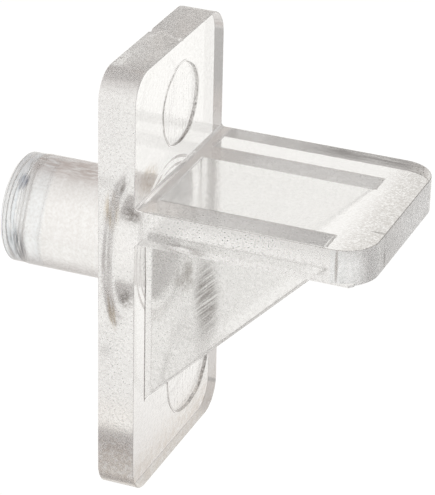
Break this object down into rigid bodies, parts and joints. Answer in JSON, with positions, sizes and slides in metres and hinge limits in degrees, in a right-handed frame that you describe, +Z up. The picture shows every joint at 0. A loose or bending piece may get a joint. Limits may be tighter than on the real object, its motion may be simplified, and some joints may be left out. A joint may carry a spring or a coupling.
{
  "type": "shelf support pin",
  "caption": "Clear moulded shelf support: a round peg on the back of an upright plate, and a flat ledge in front, braced from below by triangular ribs.",
  "frame": {"origin": "on the peg's axis, at the plate's back face, where the cabinet side meets the part", "axes": "+X from the wall out along the ledge, +Y across the width, +Z up"},
  "size_m": [0.0227, 0.0122, 0.0254],
  "materials": {
    "clear_plastic": "clear, moulded, glossy, untinted"
  },
  "bodies": {
    "root": {"shelf_support": "clear_plastic"}
  },
  "joints": []
}
